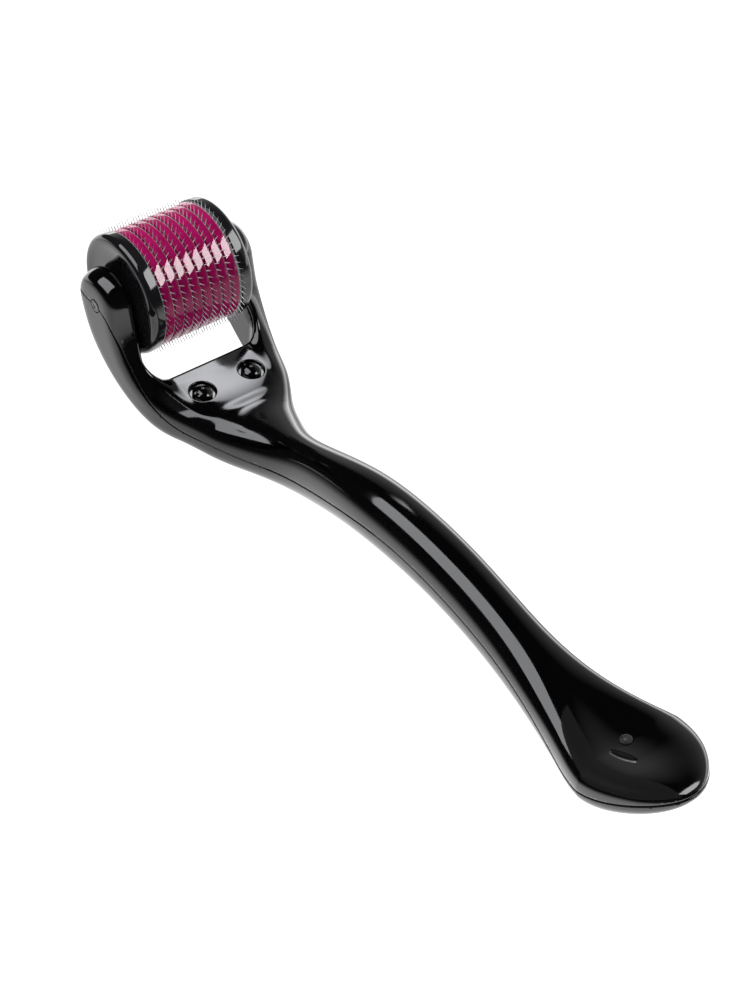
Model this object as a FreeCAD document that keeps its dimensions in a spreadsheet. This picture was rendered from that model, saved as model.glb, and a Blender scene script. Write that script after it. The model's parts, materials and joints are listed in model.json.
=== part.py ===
import FreeCAD, Part
import math
import os
import Sketcher

# Derma roller: a needle drum spins on an axle between the two arms of a curved, two-shell handle.
#
# Millimetres. +Z is up, +X runs from the drum to the tail, +Y runs along the axle.
# The roller lies as it does when it is put down: the belly of the neck and the tail rest on Z = 0
# and the drum is held in the air. The origin is on Z = 0, below the middle of the whole length.
# The "fork frame" has its origin at the middle of the axle, with x towards the tail along the
# neck plate, y along the axle and z square to the plate; it is tipped from the row's frame
# by the fork tilt.

V = FreeCAD.Vector
SIDES = {"left": -1, "right": 1}

DIMENSIONS = {
    "overall_length": 145.0,
    "axle_height": 23.3,
    "fork_tilt": 6.5,
    "needle_tip_radius": 12.2,
    "needle_shoulder_radius": 11.2,
    "needle_root_radius": 10.0,
    "needle_width": 0.26,
    "needle_count": 60,
    "row_thickness": 0.25,
    "row_rim_radius": 10.3,
    "disc_count": 8,
    "disc_thickness": 1.69,
    "disc_radius": 10.7,
    "disc_chamfer": 0.15,
    "core_radius": 5.0,
    "core_clearance": 0.05,
    "key_width": 1.4,
    "key_reach": 6.0,
    "flange_radius": 11.0,
    "flange_thickness": 2.6,
    "flange_rounding": 1.1,
    "flange_socket_depth": 1.2,
    "hub_radius": 2.6,
    "hub_height": 0.35,
    "axle_radius": 1.2,
    "axle_length": 30.7,
    "axle_chamfer": 0.2,
    "running_clearance": 0.06,
    "dome_length": 5.6,
    "dome_shoulder": 1.8,
    "slot_half_width": 11.1,
    "slot_corner_radius": 3.0,
    "plate_edge": 12.1,
    "plate_depth": 10.7,
    "plate_half_width": 11.6,
    "plate_lead": 4.0,
    "plate_length": 20.0,
    "plate_corner_radius": 4.0,
    "wall": 1.6,
    "stud_position": 18.2,
    "stud_spacing": 10.3,
    "stud_radius": 1.8,
    "stud_head_depth": 1.0,
    "stud_dome": 0.7,
    "stud_shank_radius": 1.0,
    "stud_shank_length": 5.6,
    "stud_recess_radius": 2.3,
    "stud_recess_depth": 0.7,
    "pin_position": 118.4,
    "pin_radius": 1.0,
    "pin_top": 8.05,
    "pin_length": 5.2,
    "boss_radius": 2.4,
    "rib_thickness": 1.2,
    "foot_cut": 10.0,
}

# The handle from the axle to the tail, section by section, square to its middle line.
# name: (distance from the axle along X, height from the axle, half width, half thickness,
#        corner power, thumb hollow)
STATIONS = {
    "axle": (-0.6, 0.0, 15.25, 6.6, 6.0, 0.0),
    "arm_upper": (0.9, -5.2, 15.25, 6.3, 5.6, 0.0),
    "arm_middle": (2.6, -8.2, 15.2, 5.9, 5.0, 0.0),
    "arm_lower": (4.5, -10.6, 15.1, 5.5, 4.5, 0.0),
    "arm_root": (7.9, -13.9, 14.6, 5.1, 4.0, 0.0),
    "fork_floor": (12.7, -16.4, 13.6, 5.0, 3.7, 0.0),
    "shoulder": (18.2, -17.3, 11.9, 5.0, 3.2, 0.0),
    "belly": (23.1, -18.5, 9.4, 5.0, 2.8, 0.0),
    "throat": (29.1, -18.4, 6.9, 5.0, 2.5, 0.0),
    "neck": (36.3, -17.4, 4.7, 5.0, 2.3, 0.0),
    "rise": (45.6, -15.1, 4.2, 5.2, 2.3, 0.0),
    "arch_front": (57.0, -12.4, 4.8, 5.4, 2.3, 0.0),
    "arch_top": (69.1, -11.7, 4.9, 5.4, 2.3, 0.0),
    "arch_back": (82.0, -13.0, 4.8, 5.2, 2.3, 0.0),
    "fall": (94.8, -16.0, 5.1, 4.9, 2.3, 0.0),
    "pad_neck": (104.6, -18.1, 6.5, 4.6, 2.3, 0.2),
    "pad_front": (112.6, -19.0, 8.6, 4.4, 2.3, 0.6),
    "pad_middle": (119.6, -18.8, 10.5, 4.2, 2.3, 0.9),
    "pad_back": (125.9, -17.0, 9.1, 3.6, 2.3, 0.5),
    "pad_end": (130.1, -15.0, 5.3, 2.8, 2.3, 0.0),
    "tip": (132.93, -14.9, 0.0, 0.0, 2.3, 0.0),
}
STATION_SIZES = ("along", "rise", "half_width", "half_thickness", "power", "hollow")

# Where the two shells part, in side view: (distance from the axle along X, height from the axle).
PARTING = [
    (-12.0, 1.6),
    (-3.0, 0.3),
    (0.0, 0.0),
    (3.0, -1.2),
    (5.4, -4.6),
    (7.8, -8.6),
    (11.5, -12.9),
    (18.0, -16.6),
    (27.0, -18.4),
    (36.0, -17.8),
    (57.0, -12.6),
    (69.0, -11.3),
    (82.0, -12.6),
    (104.6, -17.8),
    (119.6, -18.6),
    (130.0, -15.4),
    (140.0, -13.6),
]

SECTION_POINTS = 36
NOSE_SHARES = (0.5, 0.8, 0.95)
RIBS_AT = (34.0, 44.0, 64.0, 76.0, 98.0, 108.0)
PEGS_AT = (54.0, 87.0)
FAR = 60.0


# ---------------------------------------------------------------- the sheet


def make_sheet(doc):
    """A spreadsheet with one aliased cell for each driving dimension and each station size."""
    sheet = doc.addObject("Spreadsheet::Sheet", "dims")
    cells = dict(DIMENSIONS)
    for name, sizes in STATIONS.items():
        for word, size in zip(STATION_SIZES, sizes):
            cells[f"{name}_{word}"] = size
    for row, (alias, value) in enumerate(cells.items(), start=1):
        sheet.set(f"A{row}", alias)
        sheet.set(f"B{row}", str(value))
        sheet.setAlias(f"B{row}", alias)
    doc.recompute()
    return sheet


doc = FreeCAD.newDocument("derma_roller")
dims = make_sheet(doc)
AXLE = V(dims.needle_tip_radius - dims.overall_length / 2, 0, dims.axle_height)
TO_Y = FreeCAD.Rotation(V(0, 0, 1), V(0, 1, 0))
FORK = FreeCAD.Placement(AXLE, FreeCAD.Rotation(V(0, 1, 0), dims.fork_tilt))
STACK_HALF = (dims.disc_count * dims.disc_thickness + (dims.disc_count + 1) * dims.row_thickness) / 2
nodes = []


def node(name, part, placement=None):
    """Name a finished sub-part and put it in its place."""
    part.Label = name
    if placement is not None:
        part.Placement = placement
    nodes.append(part)
    return part


def bind(part, **formulas):
    """Bind an object's sizes to the sheet."""
    for prop, formula in formulas.items():
        part.setExpression(prop, formula)
    return part


def on_axle(side_offset, turn=0.0):
    """The place of a piece whose own z axis runs along the axle, from a distance along the axle."""
    spin = FreeCAD.Rotation(V(0, 1, 0), turn)
    return FreeCAD.Placement(AXLE + V(0, side_offset, 0), spin * TO_Y)


# ---------------------------------------------------------------- solids from the sheet's sizes


def cylinder(name, radius, height, start=None):
    """A cylinder on its own z axis, from the height start."""
    part = doc.addObject("Part::Cylinder", name)
    bind(part, Radius=radius, Height=height)
    if start:
        part.setExpression("Placement.Base.z", start)
    return part


def cut(name, base, tool):
    part = doc.addObject("Part::Cut", name)
    part.Base = base
    part.Tool = tool
    return part


def fuse(name, base, tool):
    part = doc.addObject("Part::Fuse", name)
    part.Base = base
    part.Tool = tool
    return part


def key(name, width, reach, height, start=None):
    """A straight key that stands out from the drum core along its own x axis."""
    part = doc.addObject("Part::Box", name)
    bind(part, Length=reach, Width=width, Height=height)
    part.setExpression("Placement.Base.y", f"-({width}) / 2")
    if start:
        part.setExpression("Placement.Base.z", start)
    return part


def keyed_bar(name, clearance, height, start=None):
    """The drum core's keyed section, larger all round by a clearance."""
    round_bar = cylinder(f"{name}_bar", f"dims.core_radius + {clearance}", height, start)
    width = f"dims.key_width + 2 * {clearance}"
    rail = key(f"{name}_rail", width, f"dims.key_reach + {clearance}", height, start)
    return fuse(name, round_bar, rail)


# ---------------------------------------------------------------- needle drum


def new_sketch(body, name):
    """A sketch on the XY plane of its own body."""
    sketch = body.newObject("Sketcher::SketchObject", name)
    plane = [part for part in body.Origin.OriginFeatures if part.Role == "XY_Plane"][0]
    sketch.AttachmentSupport = [(plane, "")]
    sketch.MapMode = "FlatFace"
    return sketch


def sketch_circle(sketch, alias):
    """A circle about the sketch's origin with the radius of one cell."""
    edge = sketch.addGeometry(Part.Circle(V(0, 0, 0), V(0, 0, 1), getattr(dims, alias)), False)
    sketch.addConstraint(Sketcher.Constraint("Coincident", edge, 3, -1, 1))
    radius = sketch.addConstraint(Sketcher.Constraint("Radius", edge, getattr(dims, alias)))
    sketch.setExpression(f"Constraints[{radius}]", f"dims.{alias}")


def sketch_spike(sketch):
    """One needle along x: a straight blade from inside the rim, then a point."""
    half = dims.needle_width / 2
    corners = [
        ("needle_root_radius", half),
        ("needle_root_radius", -half),
        ("needle_shoulder_radius", -half),
        ("needle_tip_radius", 0.0),
        ("needle_shoulder_radius", half),
    ]
    points = [V(getattr(dims, alias), side, 0) for alias, side in corners]
    for start, end in zip(points, points[1:] + points[:1]):
        sketch.addGeometry(Part.LineSegment(start, end), False)
    for i, (alias, side) in enumerate(corners):
        following = (i + 1) % len(corners)
        sketch.addConstraint(Sketcher.Constraint("Coincident", i, 2, following, 1))
        x = sketch.addConstraint(Sketcher.Constraint("DistanceX", -1, 1, i, 1, points[i].x))
        sketch.setExpression(f"Constraints[{x}]", f"dims.{alias}")
        if side:
            low, high = ((-1, 1), (i, 1)) if side > 0 else ((i, 1), (-1, 1))
            y = sketch.addConstraint(Sketcher.Constraint("DistanceY", *low, *high, half))
            sketch.setExpression(f"Constraints[{y}]", "dims.needle_width / 2")
        else:
            sketch.addConstraint(Sketcher.Constraint("PointOnObject", i, 1, -1))


def pad(body, sketch, name, length):
    feature = body.newObject("PartDesign::Pad", name)
    feature.Profile = sketch
    feature.setExpression("Length", length)
    body.Tip = feature
    doc.recompute()
    return feature


def keyed_hole(body, turn=0.0):
    """Cut the core's keyed section through a disc or a row; turn undoes the row's own turn."""
    radius = dims.core_radius + dims.core_clearance
    half = dims.key_width / 2 + dims.core_clearance
    reach = dims.key_reach + dims.core_clearance
    start = math.sqrt(radius**2 - half**2)
    sketch = new_sketch(body, "keyed_hole")
    sketch.AttachmentOffset = FreeCAD.Placement(V(0, 0, 0), FreeCAD.Rotation(V(0, 0, 1), -turn))
    angle = math.atan2(half, start)
    arc = Part.ArcOfCircle(Part.Circle(V(0, 0, 0), V(0, 0, 1), radius), angle, 2 * math.pi - angle)
    corners = [V(start, -half, 0), V(reach, -half, 0), V(reach, half, 0), V(start, half, 0)]
    sketch.addGeometry(arc, False)
    for first, second in zip(corners, corners[1:]):
        sketch.addGeometry(Part.LineSegment(first, second), False)
    for first, second in ((0, 1), (1, 2), (2, 3)):
        sketch.addConstraint(Sketcher.Constraint("Coincident", first, 2, second, 1))
    sketch.addConstraint(Sketcher.Constraint("Coincident", 3, 2, 0, 1))
    sketch.addConstraint(Sketcher.Constraint("Coincident", 0, 3, -1, 1))
    sketch.addConstraint(Sketcher.Constraint("Horizontal", 1))
    sketch.addConstraint(Sketcher.Constraint("Horizontal", 3))
    sketch.addConstraint(Sketcher.Constraint("Vertical", 2))
    size = sketch.addConstraint(Sketcher.Constraint("Radius", 0, radius))
    sketch.setExpression(f"Constraints[{size}]", "dims.core_radius + dims.core_clearance")
    size = sketch.addConstraint(Sketcher.Constraint("DistanceX", -1, 1, 2, 1, reach))
    sketch.setExpression(f"Constraints[{size}]", "dims.key_reach + dims.core_clearance")
    size = sketch.addConstraint(Sketcher.Constraint("DistanceY", -1, 1, 3, 1, half))
    sketch.setExpression(f"Constraints[{size}]", "dims.key_width / 2 + dims.core_clearance")
    size = sketch.addConstraint(Sketcher.Constraint("DistanceY", 2, 1, -1, 1, half))
    sketch.setExpression(f"Constraints[{size}]", "dims.key_width / 2 + dims.core_clearance")
    pocket = body.newObject("PartDesign::Pocket", "key_pocket")
    pocket.Profile = sketch
    pocket.Type = "ThroughAll"
    pocket.Reversed = True
    body.Tip = pocket
    doc.recompute()


def make_needle_row(index, offset):
    """A thin steel ring with a spike every few degrees; every other row is turned by half a step."""
    body = doc.addObject("PartDesign::Body", f"row_{index}")
    rim = new_sketch(body, "rim")
    sketch_circle(rim, "row_rim_radius")
    pad(body, rim, "ring", "dims.row_thickness")
    turn = 180.0 / dims.needle_count * (index % 2)
    keyed_hole(body, turn)
    spike = new_sketch(body, "spike")
    sketch_spike(spike)
    needle = pad(body, spike, "needle", "dims.row_thickness")
    pattern = body.newObject("PartDesign::PolarPattern", "needles")
    pattern.Originals = [needle]
    pattern.Axis = (spike, ["N_Axis"])
    pattern.Angle = 360
    bind(pattern, Occurrences="dims.needle_count")
    body.Tip = pattern
    node(f"needle_row_{index}", body, on_axle(offset, turn))


def make_disc(index, offset):
    """A coloured disc that spaces two needle rows, with both rims broken by a small chamfer."""
    body = doc.addObject("PartDesign::Body", f"disc_{index}")
    rim = new_sketch(body, "rim")
    sketch_circle(rim, "disc_radius")
    ring = pad(body, rim, "ring", "dims.disc_thickness")
    chamfer = body.newObject("PartDesign::Chamfer", "rim_chamfer")
    rims = [i for i, edge in enumerate(ring.Shape.Edges, 1) if edge.Closed]
    chamfer.Base = (ring, [f"Edge{i}" for i in rims])
    bind(chamfer, Size="dims.disc_chamfer")
    body.Tip = chamfer
    doc.recompute()
    keyed_hole(body)
    node(f"drum_disc_{index}", body, on_axle(offset))


def make_stack():
    """Nine needle rows and the eight discs between them, in turn along the axle."""
    offset = -STACK_HALF
    for index in range(1, int(dims.disc_count) + 2):
        make_needle_row(index, offset)
        offset += dims.row_thickness
        if index <= dims.disc_count:
            make_disc(index, offset)
            offset += dims.disc_thickness


def make_core():
    """The keyed tube that carries the stack and reaches into both flanges."""
    stack = "(dims.disc_count * dims.disc_thickness + (dims.disc_count + 1) * dims.row_thickness)"
    reach = "(dims.flange_socket_depth - dims.core_clearance)"
    length = f"{stack} + 2 * {reach}"
    bar = keyed_bar("core_bar", "0", length)
    bore = cylinder("core_bore", "dims.axle_radius + dims.running_clearance", length)
    core = cut("core", bar, bore)
    node("drum_core", core, on_axle(-STACK_HALF - dims.flange_socket_depth + dims.core_clearance))


def make_flange(side):
    """A black end flange: closed outer face with a low hub, rounded rim, keyed socket inside."""
    name = f"flange_{side}"
    blank = cylinder(f"{name}_blank", "dims.flange_radius", "dims.flange_thickness")
    doc.recompute()
    rim = doc.addObject("Part::Fillet", f"{name}_rim")
    rim.Base = blank
    outer = [i for i, edge in enumerate(blank.Shape.Edges, 1) if edge.CenterOfMass.z > 1 and edge.Closed]
    rim.Edges = [(outer[0], dims.flange_rounding, dims.flange_rounding)]
    hub = cylinder(f"{name}_hub", "dims.hub_radius", "dims.flange_thickness + dims.hub_height")
    solid = fuse(f"{name}_solid", rim, hub)
    socket = keyed_bar(f"{name}_socket", "dims.core_clearance", "dims.flange_socket_depth + 1", "-1")
    hollowed = cut(f"{name}_hollowed", solid, socket)
    bore_radius = "dims.axle_radius + dims.running_clearance"
    bore = cylinder(f"{name}_bore", bore_radius, "dims.flange_thickness * 2")
    flange = cut(f"{name}_body", hollowed, bore)
    place = on_axle(SIDES[side] * STACK_HALF)
    if side == "left":
        place = place * FreeCAD.Placement(V(0, 0, 0), FreeCAD.Rotation(V(1, 0, 0), 180))
    node(name, flange, place)


def make_axle():
    """The pin through the drum, held by its ends between the two shells."""
    pin = cylinder("axle_pin", "dims.axle_radius", "dims.axle_length")
    doc.recompute()
    rod = doc.addObject("Part::Chamfer", "axle_rod")
    rod.Base = pin
    ends = [i for i, edge in enumerate(pin.Shape.Edges, 1) if edge.Closed]
    rod.Edges = [(i, dims.axle_chamfer, dims.axle_chamfer) for i in ends]
    node("axle", rod, on_axle(-dims.axle_length / 2))


# ---------------------------------------------------------------- handle


def station(name):
    """One station's sizes, read from the sheet."""
    return {word: getattr(dims, f"{name}_{word}") for word in STATION_SIZES}


def signed_power(value, power):
    return math.copysign(abs(value) ** power, value)


def section(middle, along, size, inset=0.0, scale=1.0):
    """A closed section square to the direction along; its front side may carry a thumb hollow."""
    front = V(-along.z, 0, along.x)
    half_width = (size["half_width"] - inset) * scale
    half_thickness = (size["half_thickness"] - inset) * scale
    points = []
    for i in range(SECTION_POINTS):
        angle = 2 * math.pi * (i + 0.5) / SECTION_POINTS
        side = half_width * signed_power(math.cos(angle), 2 / size["power"])
        depth = half_thickness * signed_power(math.sin(angle), 2 / size["power"])
        if depth > 0:
            depth -= scale * size["hollow"] * max(0.0, 1 - (side / half_width / 0.85) ** 2) ** 2
        points.append(middle + V(0, side, 0) + front * depth)
    curve = Part.BSplineCurve()
    curve.interpolate(Points=points, PeriodicFlag=True)
    return Part.Wire([curve.toShape()])


def middle_line():
    """Each station's point on the middle line and the line's direction there."""
    sizes = [station(name) for name in STATIONS]
    points = [AXLE + V(size["along"], 0, size["rise"]) for size in sizes]
    before = [points[0] + (points[0] - points[1])] + points[:-1]
    after = points[1:] + [points[-1] + (points[-1] - points[-2])]
    directions = [(b - a).normalize() for a, b in zip(before, after)]
    return sizes, points, directions


def outer_form():
    """The whole handle as one solid, before the slot is cut: a dome round the axle, then the tail."""
    sizes, points, directions = middle_line()
    dome = dims.dome_length
    wires = []
    for share in reversed(NOSE_SHARES):
        middle = points[0] - directions[0] * dome * share
        rounding = dict(sizes[0])
        rounding["half_width"] -= dims.dome_shoulder * (1 - math.sqrt(1 - share**2))
        rounding["half_thickness"] *= math.sqrt(1 - share**2)
        wires.append(section(middle, directions[0], rounding))
    for size, middle, along in zip(sizes[:-1], points[:-1], directions[:-1]):
        wires.append(section(middle, along, size))
    last, tip = points[-2], points[-1]
    for share in NOSE_SHARES:
        scale = math.sqrt(1 - share)
        wires.append(section(last + (tip - last) * share, directions[-1], sizes[-2], scale=scale))
    return Part.makeLoft(wires, True, False, False)


def hollow_form(first, last):
    """The space inside the two shells, one wall inside the outer form, between two stations."""
    sizes, points, directions = middle_line()
    names = list(STATIONS)
    chosen = range(names.index(first), names.index(last) + 1)
    wires = [section(points[i], directions[i], sizes[i], inset=dims.wall) for i in chosen]
    return Part.makeLoft(wires, True, False, False)


def slot_tool():
    """The gap for the drum, square to the neck plate, with two rounded inner corners."""
    half, radius, end = dims.slot_half_width, dims.slot_corner_radius, dims.plate_edge
    diagonal = radius * (1 - math.sqrt(0.5))
    corner_low = Part.Arc(
        V(end - radius, -half, 0),
        V(end - diagonal, -half + diagonal, 0),
        V(end, -half + radius, 0),
    ).toShape()
    corner_high = Part.Arc(
        V(end, half - radius, 0),
        V(end - diagonal, half - diagonal, 0),
        V(end - radius, half, 0),
    ).toShape()
    edges = [
        Part.makeLine(V(-FAR, -half, 0), V(end - radius, -half, 0)),
        corner_low,
        Part.makeLine(V(end, -half + radius, 0), V(end, half - radius, 0)),
        corner_high,
        Part.makeLine(V(end - radius, half, 0), V(-FAR, half, 0)),
        Part.makeLine(V(-FAR, half, 0), V(-FAR, -half, 0)),
    ]
    tool = Part.Face(Part.Wire(edges)).extrude(V(0, 0, 2 * FAR))
    tool.translate(V(0, 0, -FAR))
    tool.Placement = FORK * tool.Placement
    return tool


def plate_tool():
    """The flat front of the neck between the roots of the arms, blended up into them."""
    half, radius, floor = dims.plate_half_width, dims.plate_corner_radius, -dims.plate_depth
    corner = V(dims.plate_edge - dims.plate_lead, -half, floor)
    block = Part.makeBox(dims.plate_length, 2 * half, FAR, corner)
    low = [e for e in block.Edges if abs(e.BoundBox.ZMax - floor) < 0.01 and e.BoundBox.XLength > 1]
    tool = block.makeFillet(radius, low)
    tool.Placement = FORK * tool.Placement
    return tool


def front_side():
    """Everything in front of the parting line, as a block wider than the handle."""
    points = [AXLE + V(x, -FAR / 2, z) for x, z in PARTING]
    curve = Part.BSplineCurve()
    curve.interpolate(Points=points)
    top = V(0, 0, FAR)
    edges = [
        curve.toShape(),
        Part.makeLine(points[-1], points[-1] + top),
        Part.makeLine(points[-1] + top, points[0] + top),
        Part.makeLine(points[0] + top, points[0]),
    ]
    return Part.Face(Part.Wire(edges)).extrude(V(0, FAR, 0))


def stud_place(side):
    """The place of a neck stud, its own z axis square to the plate, from the plate's surface."""
    local = V(dims.stud_position, SIDES[side] * dims.stud_spacing / 2, -dims.plate_depth)
    return FORK * FreeCAD.Placement(local, FreeCAD.Rotation())


def placed(shape, placement):
    shape.Placement = placement * shape.Placement
    return shape


def hardware_holes():
    """The seats of the axle, the neck studs and the tail pin."""
    width = 2 * FAR
    seats = [placed(Part.makeCylinder(dims.axle_radius, width), on_axle(-FAR))]
    for side in SIDES:
        depth = dims.stud_recess_depth
        recess = Part.makeCylinder(dims.stud_recess_radius, FAR / 6, V(0, 0, -depth))
        head = Part.makeCylinder(dims.stud_radius, FAR / 6, V(0, 0, -dims.stud_head_depth))
        shank_foot = -dims.stud_head_depth - dims.stud_shank_length
        shank = Part.makeCylinder(dims.stud_shank_radius, FAR / 6, V(0, 0, shank_foot))
        seats.append(placed(recess.fuse([head, shank]), stud_place(side)))
    foot = V(AXLE.x + dims.pin_position, 0, dims.pin_top - dims.pin_length)
    seats.append(Part.makeCylinder(dims.pin_radius, FAR, foot))
    return seats


def inner_posts():
    """Ribs, peg posts and bosses that are left standing inside the hollow."""
    posts = []
    for at in RIBS_AT:
        corner = V(AXLE.x + at - dims.rib_thickness / 2, -FAR / 2, -FAR / 2)
        posts.append(Part.makeBox(dims.rib_thickness, FAR, 2 * FAR, corner))
    for at in PEGS_AT:
        posts.append(Part.makeCylinder(dims.boss_radius, 2 * FAR, V(AXLE.x + at, 0, -FAR)))
    posts.append(Part.makeCylinder(dims.boss_radius, 2 * FAR, V(AXLE.x + dims.pin_position, 0, -FAR)))
    return posts


def make_shells():
    """The front and back shells of the handle, each one solid, meeting on the parting line."""
    floor = Part.makeBox(4 * FAR, FAR, dims.foot_cut, V(-2 * FAR, -FAR / 2, -dims.foot_cut))
    form = outer_form().cut([slot_tool(), plate_tool(), floor])
    hollow = hollow_form("throat", "pad_back").cut(inner_posts())
    form = form.cut([hollow] + hardware_holes())
    front_block = front_side()
    halves = {"handle_front_shell": form.common(front_block), "handle_back_shell": form.cut(front_block)}
    for name, half in halves.items():
        shell = doc.addObject("Part::Feature", name)
        shell.Shape = max(half.Solids, key=lambda solid: solid.Volume)
        node(name, shell)


def make_stud(side):
    """A domed stud in the neck plate: a shank pressed into the back shell and a low round head."""
    name = f"neck_stud_{side}"
    shank = cylinder(
        f"{name}_shank",
        "dims.stud_shank_radius",
        "dims.stud_shank_length + dims.stud_head_depth",
        "-dims.stud_head_depth - dims.stud_shank_length",
    )
    head = cylinder(f"{name}_head", "dims.stud_radius", "dims.stud_head_depth", "-dims.stud_head_depth")
    ball = doc.addObject("Part::Sphere", f"{name}_ball")
    ball_radius = "(dims.stud_radius ^ 2 + dims.stud_dome ^ 2) / (2 * dims.stud_dome)"
    bind(ball, Radius=ball_radius)
    ball.setExpression("Placement.Base.z", f"dims.stud_dome - {ball_radius}")
    column = cylinder(f"{name}_column", "dims.stud_radius", "dims.stud_dome * 2")
    dome = doc.addObject("Part::Common", f"{name}_dome")
    dome.Base = ball
    dome.Tool = column
    pin = fuse(f"{name}_pin", shank, head)
    node(name, fuse(f"{name}_body", pin, dome), stud_place(side))


def make_tail_pin():
    """The round end of the assembly pin in the thumb hollow."""
    pin = cylinder("tail_pin_rod", "dims.pin_radius", "dims.pin_length")
    foot = V(AXLE.x + dims.pin_position, 0, dims.pin_top - dims.pin_length)
    node("tail_pin", pin, FreeCAD.Placement(foot, FreeCAD.Rotation()))


# ---------------------------------------------------------------- build, check, write


def check():
    """Stop if any object failed or any sub-part's shape isn't one valid solid."""
    for part in doc.Objects:
        bad = [state for state in part.State if state in ("Invalid", "Error")]
        if bad:
            raise RuntimeError(f"{part.Name} is {bad}")
    for part in nodes:
        shape = part.Shape
        if shape.isNull() or not shape.isValid() or len(shape.Solids) != 1:
            raise RuntimeError(f"{part.Label}: not one valid solid")


make_shells()
make_axle()
for side_name in SIDES:
    make_stud(side_name)
    make_flange(side_name)
make_tail_pin()
make_core()
make_stack()
doc.recompute()
check()
os.makedirs("parts", exist_ok=True)
for part in nodes:
    part.Shape.exportStep(f"parts/{part.Label}.step")
    box = part.Shape.BoundBox
    print(f"{part.Label:22s} {part.Shape.Volume:9.1f} mm3  x {box.XMin:6.1f} {box.XMax:6.1f}"
          f"  y {box.YMin:6.1f} {box.YMax:6.1f}  z {box.ZMin:6.1f} {box.ZMax:6.1f}")
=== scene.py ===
import json
import math

import bpy
import numpy as np
from mathutils import Matrix, Vector


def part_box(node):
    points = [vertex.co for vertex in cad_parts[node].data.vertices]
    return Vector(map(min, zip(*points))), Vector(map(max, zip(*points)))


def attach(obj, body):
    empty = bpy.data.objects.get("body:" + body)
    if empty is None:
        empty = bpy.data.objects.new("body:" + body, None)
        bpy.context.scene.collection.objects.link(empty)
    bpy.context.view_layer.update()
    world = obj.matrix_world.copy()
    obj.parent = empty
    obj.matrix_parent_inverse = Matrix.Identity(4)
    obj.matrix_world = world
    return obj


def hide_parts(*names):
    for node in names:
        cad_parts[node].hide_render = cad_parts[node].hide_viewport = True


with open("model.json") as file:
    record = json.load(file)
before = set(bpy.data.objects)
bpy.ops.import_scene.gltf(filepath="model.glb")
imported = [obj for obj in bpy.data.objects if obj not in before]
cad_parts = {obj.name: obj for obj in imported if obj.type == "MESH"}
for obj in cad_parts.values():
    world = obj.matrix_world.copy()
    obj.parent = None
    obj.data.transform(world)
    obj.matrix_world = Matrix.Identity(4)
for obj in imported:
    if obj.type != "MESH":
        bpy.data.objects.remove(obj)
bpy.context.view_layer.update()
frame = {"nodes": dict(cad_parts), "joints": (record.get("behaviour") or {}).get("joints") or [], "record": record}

# Derma roller: the looks of every piece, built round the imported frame.
# Shapes are worked out in millimetres from the middle of the axle, and become metres as meshes.

MM = 0.001
AXLE = np.array(frame["joints"][0]["pos_m"]) / MM
HANDLE = "handle"
ROLLER = "roller"

# The handle's middle line and sections, from the axle to the widest place of the thumb pad:
# (along X, height, half width, half thickness, corner power, thumb hollow)
STATIONS = [
    (-0.6, 0.0, 15.25, 6.6, 6.0, 0.0),
    (0.9, -5.2, 15.25, 6.3, 5.6, 0.0),
    (2.6, -8.2, 15.2, 5.9, 5.0, 0.0),
    (4.5, -10.6, 15.1, 5.5, 4.5, 0.0),
    (7.9, -13.9, 14.6, 5.1, 4.0, 0.0),
    (12.7, -16.4, 13.6, 5.0, 3.7, 0.0),
    (18.2, -17.3, 11.9, 5.0, 3.2, 0.0),
    (23.1, -18.5, 9.4, 5.0, 2.8, 0.0),
    (29.1, -18.4, 6.9, 5.0, 2.5, 0.0),
    (36.3, -17.4, 4.7, 5.0, 2.3, 0.0),
    (45.6, -15.1, 4.2, 5.2, 2.3, 0.0),
    (57.0, -12.4, 4.8, 5.4, 2.3, 0.0),
    (69.1, -11.7, 4.9, 5.4, 2.3, 0.0),
    (82.0, -13.0, 4.8, 5.2, 2.3, 0.0),
    (94.8, -16.0, 5.1, 4.9, 2.3, 0.0),
    (104.6, -18.1, 6.5, 4.6, 2.3, 0.2),
    (112.6, -19.0, 8.6, 4.4, 2.3, 0.6),
    (119.6, -18.8, 10.5, 4.2, 2.3, 0.9),
    (125.9, -17.0, 10.5, 4.2, 2.3, 0.9),
    (132.75, -15.0, 10.5, 4.2, 2.3, 0.9),
]

# The tail's rounding starts at this station; PAD_EDGE squares the pad's rim where it is hollow.
NOSE_STATION = 17
NOSE_POWER = 1.85
PAD_EDGE = 1.5
DISH_WIDTH = 0.85
DISH_END = 1.4
DOME_LENGTH = 5.8

# The parting line of the two shells in side view: (along X, height).
PARTING = [
    (-12.0, 1.6),
    (-3.0, 0.3),
    (0.0, 0.0),
    (3.0, -1.2),
    (5.4, -4.6),
    (7.8, -8.6),
    (11.5, -12.9),
    (18.0, -16.6),
    (27.0, -18.4),
    (36.0, -17.8),
    (57.0, -12.6),
    (69.0, -11.3),
    (82.0, -12.6),
    (104.6, -17.8),
    (119.6, -18.6),
    (130.0, -15.4),
    (140.0, -13.6),
]

# The fork: the neck plate's tilt, the gap for the drum, and the recess in front of the plate,
# measured along the tilted plate from the axle.
FORK_TILT = math.radians(6.5)
SLOT_HALF_WIDTH = 11.1
SLOT_CORNER = 3.0
PLATE_EDGE = 12.1
PLATE_DEPTH = 10.7
PLATE_HALF_WIDTH = 11.6
PLATE_CORNER = 4.0
PLATE_START = PLATE_EDGE - 4
PLATE_END = 24.5
PLATE_END_ROUNDING = 2.0

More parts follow.
